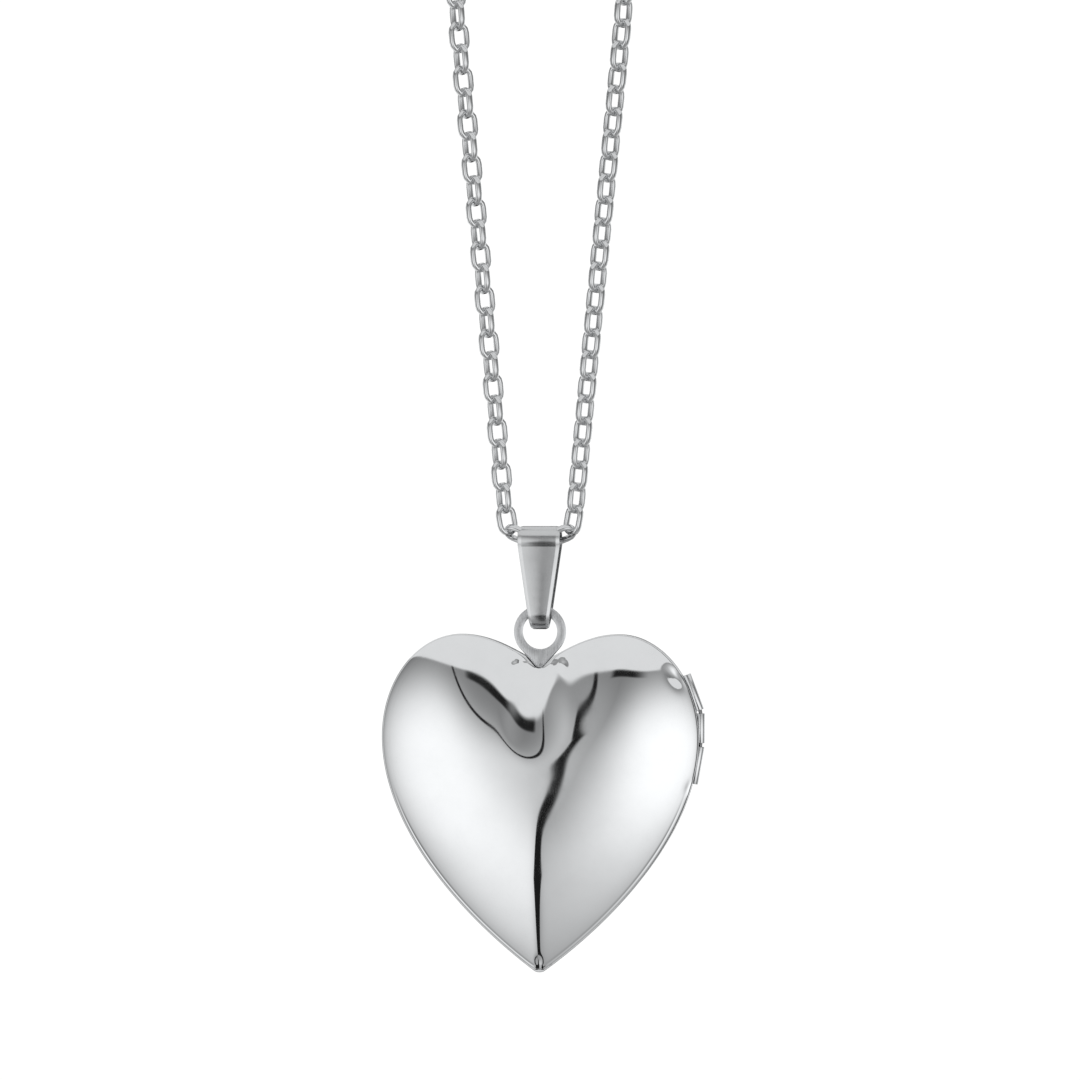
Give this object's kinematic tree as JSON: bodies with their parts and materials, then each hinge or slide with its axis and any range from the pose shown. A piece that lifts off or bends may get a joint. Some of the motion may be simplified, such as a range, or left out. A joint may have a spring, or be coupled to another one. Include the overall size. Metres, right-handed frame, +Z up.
{
  "type": "heart locket",
  "caption": "Polished steel heart locket with a side hinge and inner photo frames, hung by a loop and a folded bail on a closed length of cable chain with a clasp.",
  "frame": {"origin": "centre of the arch of the chain, where it goes over what holds it up; the plane Y = 0 is the seam between the two covers", "axes": "+Z up, the front cover faces -Y, +X towards the hinge"},
  "size_m": [0.0277, 0.0066, 0.0972],
  "materials": {
    "polished_shell": "polished",
    "polished_steel": "polished",
    "satin_steel": "satin"
  },
  "bodies": {
    "chain_and_clasp": {"chain": "polished_steel", "jump_ring": "polished_steel", "end_ring": "polished_steel", "clasp_body": "polished_steel", "clasp_spring": "satin_steel", "clasp_rivet": "satin_steel"},
    "clasp_lever": {"clasp_lever": "polished_steel"},
    "bail": {"bail": "polished_steel"},
    "back_half": {"back_cover": "polished_shell", "closing_rim": "satin_steel", "photo_frame_back": "satin_steel", "photo_seat_back": "satin_steel", "hinge_knuckle_upper": "polished_steel", "hinge_knuckle_lower": "polished_steel", "hinge_pin": "satin_steel", "suspension_loop": "satin_steel"},
    "front_half": {"front_cover": "polished_shell", "photo_frame_front": "satin_steel", "photo_seat_front": "satin_steel", "hinge_knuckle_middle": "polished_steel"}
  },
  "joints": [
    {"name": "bail_swing", "type": "hinge", "parent": "chain_and_clasp", "child": "bail", "pos_m": [0, 0, -0.05097], "axis": [1, 0, 0], "range_deg": [-90, 90]},
    {"name": "locket_swing", "type": "hinge", "parent": "bail", "child": "back_half", "pos_m": [0, 0, -0.05702], "axis": [1, 0, 0], "range_deg": [-60, 60]},
    {"name": "cover_hinge", "type": "hinge", "parent": "back_half", "child": "front_half", "pos_m": [0.01372, 0, -0.06704], "axis": [0, 0, 1], "range_deg": [0, 170]},
    {"name": "clasp_lever_press", "type": "hinge", "parent": "chain_and_clasp", "child": "clasp_lever", "pos_m": [0.0001, 0, 0.00775], "axis": [0, -1, 0], "range_deg": [0, 12], "stiffness_Nm_per_rad": 0.004, "springref_deg": -5.73}
  ]
}
